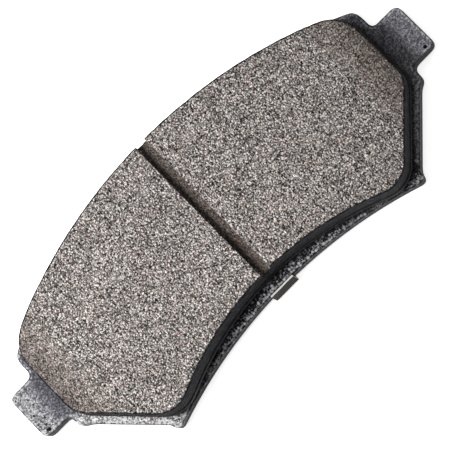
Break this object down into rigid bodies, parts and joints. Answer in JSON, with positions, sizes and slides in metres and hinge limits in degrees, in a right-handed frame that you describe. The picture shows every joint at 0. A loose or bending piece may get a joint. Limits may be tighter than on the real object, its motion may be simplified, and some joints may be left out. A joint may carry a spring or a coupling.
{
  "type": "disc brake pad",
  "caption": "Disc brake pad: curved friction block with a centre groove and chamfered ends on a steel backing plate with square ears, and a clip-on noise shim.",
  "frame": {"origin": "on the shim's back, below the middle of the pad's bounding box", "axes": "+X along the pad from ear to ear, +Y away from the wheel's centre, +Z out of the friction face towards the disc"},
  "size_m": [0.15, 0.0618, 0.0169],
  "materials": {
    "rotor_lining": "ground semi-metallic friction compound, speckled grey-brown",
    "underlayer": "moulded dark compound, matt",
    "bond_film": "cured phenolic adhesive, dark",
    "backing_plate": "textured dark grey powder coat",
    "shim_adhesive": "thin pressure-sensitive adhesive",
    "shim_rubber": "thin matt nitrile rubber coat",
    "shim_steel": "cold-rolled sheet, bright at its cut edges"
  },
  "bodies": {
    "root": {"friction_lining": "rotor_lining", "underlayer": "underlayer", "bond_film": "bond_film", "backing_plate": "backing_plate", "shim_adhesive": "shim_adhesive", "shim_inner_rubber": "shim_rubber", "shim_core": "shim_steel", "shim_outer_rubber": "shim_rubber"}
  },
  "joints": []
}
